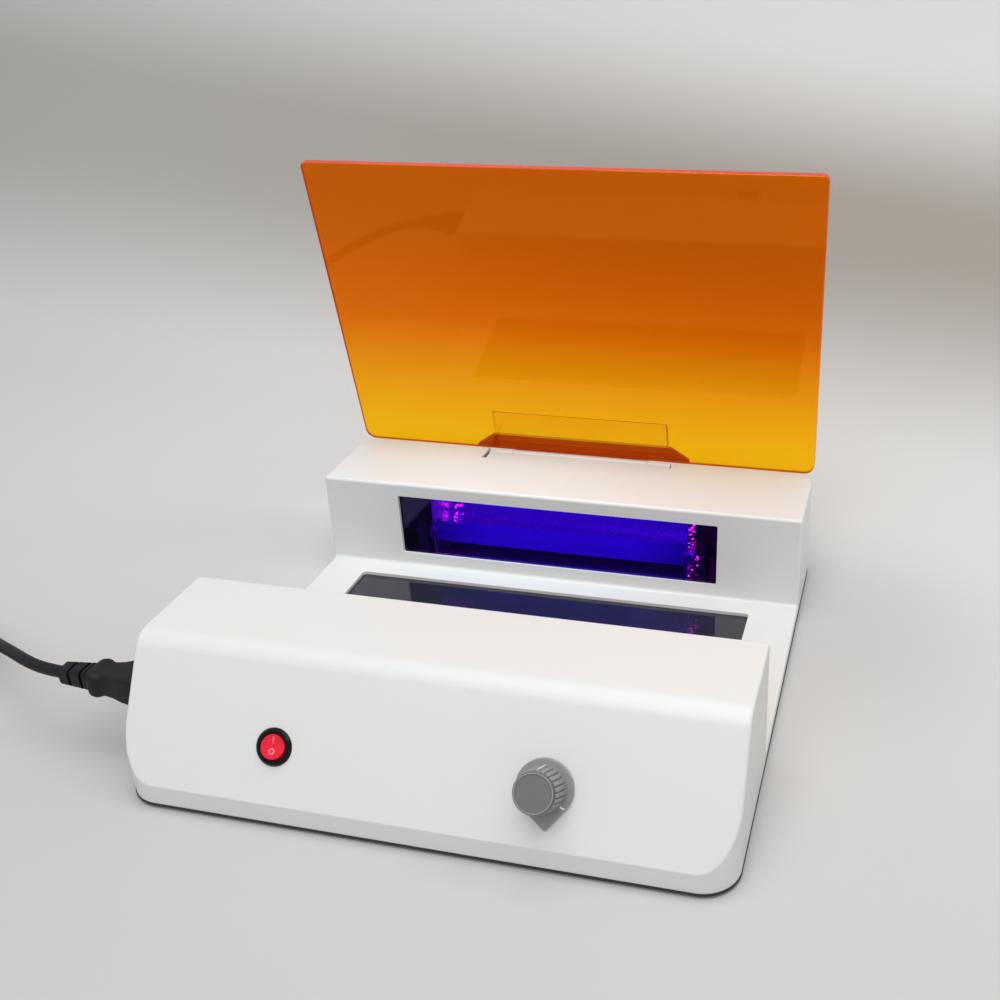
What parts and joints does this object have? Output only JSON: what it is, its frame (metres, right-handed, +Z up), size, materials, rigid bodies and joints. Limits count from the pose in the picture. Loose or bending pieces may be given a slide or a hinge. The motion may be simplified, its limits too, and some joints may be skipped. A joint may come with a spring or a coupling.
{
  "type": "blue light transilluminator",
  "caption": "Bench transilluminator: white sloped housing with a blue lamp window over a dark glass bed, and a hinged orange viewing cover, with a dimmer knob, switch and mains lead.",
  "frame": {"origin": "on the bench under the middle of the instrument, measured without the mains lead", "axes": "+X to the user's right along the width, +Y from the control panel to the lamp box, +Z up"},
  "size_m": [0.6695, 0.4186, 0.3078],
  "materials": {
    "white_shell": "thermoformed white acrylic, satin gloss with soft edges",
    "dark_base": "dark sheet, matt",
    "foot_rubber": "black rubber",
    "screw_steel": "bright zinc-plated steel",
    "white_block": "white moulded plastic",
    "dark_glass": "dark polished glass",
    "pad_foam": "thin foam pad",
    "blue_filter": "deep blue filter glass",
    "aluminium_rail": "bare aluminium",
    "amber_acrylic": "orange filter acrylic, polished",
    "clear_acrylic": "clear acrylic strip",
    "red_acrylic": "red-brown plastic leaf",
    "white_hinge": "white moulded hinge",
    "black_gloss": "gloss black moulding",
    "red_rocker": "lit red rocker",
    "brass_pin": "plated brass contacts",
    "knob_grey": "grey moulded knob",
    "knob_cap_grey": "grey knob cap",
    "index_white": "white index line",
    "black_matte": "matt black moulding",
    "cord_black": "black flexible sheath",
    "lamp_glass": "lit blue fluorescent tube",
    "tray_steel": "white painted steel tray",
    "reflector_aluminium": "bright hammered aluminium",
    "board_green": "green circuit board",
    "choke_core": "ferrite core and winding",
    "terminal_green": "green terminal block",
    "wire_sheath": "insulated wire"
  },
  "bodies": {
    "housing": {"base_plate": "dark_base", "base_screws": "screw_steel", "bed_glass": "dark_glass", "board_nuts": "screw_steel", "board_screws": "screw_steel", "board_standoffs": "white_block", "connector": "cord_black", "connector_relief": "cord_black", "cord_tie": "cord_black", "driver_board": "board_green", "driver_capacitors": "black_gloss", "driver_choke": "choke_core", "driver_heat_sink": "reflector_aluminium", "driver_transistors": "black_matte", "filter_rails": "aluminium_rail", "glass_pads": "pad_foam", "hinge_bracket_left": "white_hinge", "hinge_bracket_right": "white_hinge", "hinge_nuts": "screw_steel", "hinge_pin": "screw_steel", "hinge_screws": "screw_steel", "housing_shell": "white_shell", "inlet_pins": "brass_pin", "inlet_socket": "black_matte", "lamp_caps": "aluminium_rail", "lamp_filter": "blue_filter", "lamp_tray": "tray_steel", "lamp_tube": "lamp_glass", "lamp_wires": "wire_sheath", "lampholder_screws": "screw_steel", "lampholders": "white_block", "mains_cord": "cord_black", "mains_cord_coil": "cord_black", "mains_cord_tail": "cord_black", "mains_plug": "cord_black", "mains_wires": "wire_sheath", "plug_blades": "brass_pin", "plug_relief": "cord_black", "pot_body": "screw_steel", "pot_nut": "screw_steel", "reflector": "reflector_aluminium", "rubber_feet": "foot_rubber", "screw_blocks": "white_block", "switch_body": "black_gloss", "switch_terminals": "brass_pin", "terminal_blocks": "terminal_green"},
    "cover": {"cover_plate": "amber_acrylic", "cover_stiffener": "clear_acrylic", "hinge_leaf": "red_acrylic", "hinge_arm": "white_hinge"},
    "knob": {"knob_barrel": "knob_grey", "knob_cap": "knob_cap_grey", "knob_index": "index_white", "knob_skirt": "knob_grey", "pot_shaft": "aluminium_rail"},
    "rocker": {"switch_rocker": "red_rocker"}
  },
  "joints": [
    {"name": "cover_hinge", "type": "hinge", "parent": "housing", "child": "cover", "pos_m": [0, 0.1817, 0.0756], "axis": [1, 0, 0], "range_deg": [-25, 78.5]},
    {"name": "knob_turn", "type": "hinge", "parent": "housing", "child": "knob", "pos_m": [0.0768, -0.16948, 0.04479], "axis": [0, -0.8443, 0.5358], "range_deg": [-150, 150]},
    {"name": "rocker_tilt", "type": "hinge", "parent": "housing", "child": "rocker", "pos_m": [-0.0861, -0.16981, 0.04501], "axis": [1, 0, 0], "range_deg": [0, 16]}
  ]
}
